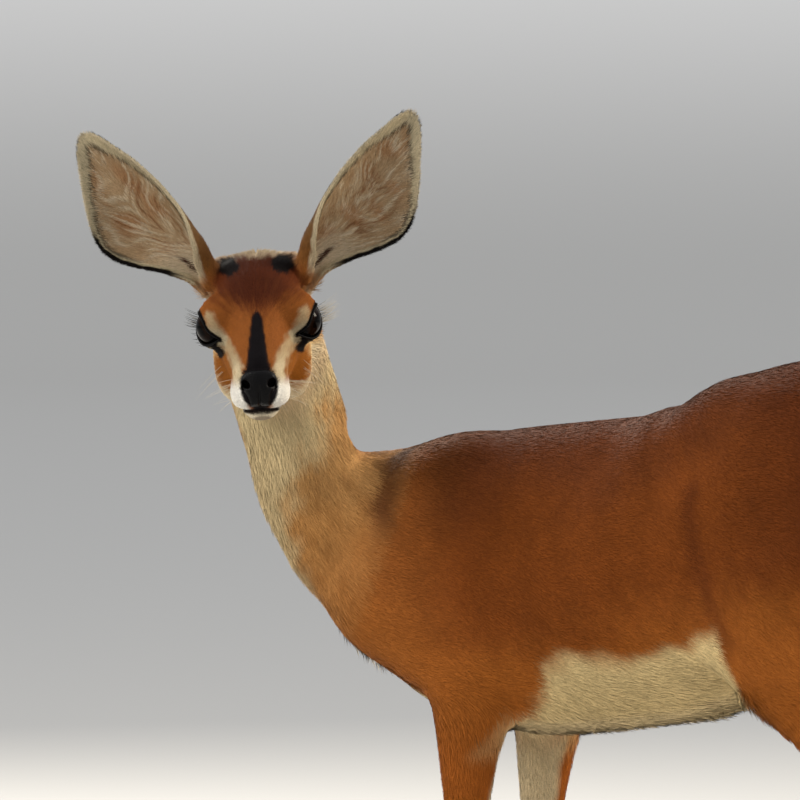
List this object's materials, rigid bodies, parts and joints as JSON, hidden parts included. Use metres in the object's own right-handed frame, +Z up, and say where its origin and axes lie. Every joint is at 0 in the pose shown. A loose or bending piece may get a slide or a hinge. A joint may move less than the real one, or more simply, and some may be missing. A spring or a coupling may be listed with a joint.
{
  "type": "life-size museum model of a steenbok ewe",
  "caption": "Life-size still model of a female steenbok, standing square and looking back over her left shoulder, with short red-brown fur, a white belly and large upright ears.",
  "frame": {"origin": "on the floor, under the middle of the bounding box", "axes": "+Z up, the body faces -X, the left side and the turned head are towards -Y"},
  "size_m": [0.6218, 0.317, 0.7335],
  "materials": {
    "body_coat": "short lying fur, red-brown above and cream below",
    "head_coat": "very short fur, red-brown with cream and black marks",
    "ear_coat": "thin short fur, pale hair inside",
    "nose": "moist, finely grained bare skin",
    "eye": "polished",
    "hoof_horn": "smooth horn, a little worn at the edge"
  },
  "bodies": {
    "root": {"head": "head_coat", "nose": "nose", "neck_upper": "body_coat", "neck_lower": "body_coat", "shoulder_left": "body_coat", "forearm_left": "body_coat", "fore_cannon_left": "body_coat", "fore_pastern_left": "body_coat", "fore_claw_outer_left": "hoof_horn", "fore_claw_inner_left": "hoof_horn", "haunch_left": "body_coat", "gaskin_left": "body_coat", "hind_cannon_left": "body_coat", "hind_pastern_left": "body_coat", "hind_claw_outer_left": "hoof_horn", "hind_claw_inner_left": "hoof_horn", "shoulder_right": "body_coat", "forearm_right": "body_coat", "fore_cannon_right": "body_coat", "fore_pastern_right": "body_coat", "fore_claw_outer_right": "hoof_horn", "fore_claw_inner_right": "hoof_horn", "haunch_right": "body_coat", "gaskin_right": "body_coat", "hind_cannon_right": "body_coat", "hind_pastern_right": "body_coat", "hind_claw_outer_right": "hoof_horn", "hind_claw_inner_right": "hoof_horn", "chest": "body_coat", "rump": "body_coat", "barrel": "body_coat", "tail": "body_coat", "eye_left": "eye", "ear_left": "ear_coat", "eye_right": "eye", "ear_right": "ear_coat"}
  },
  "joints": []
}
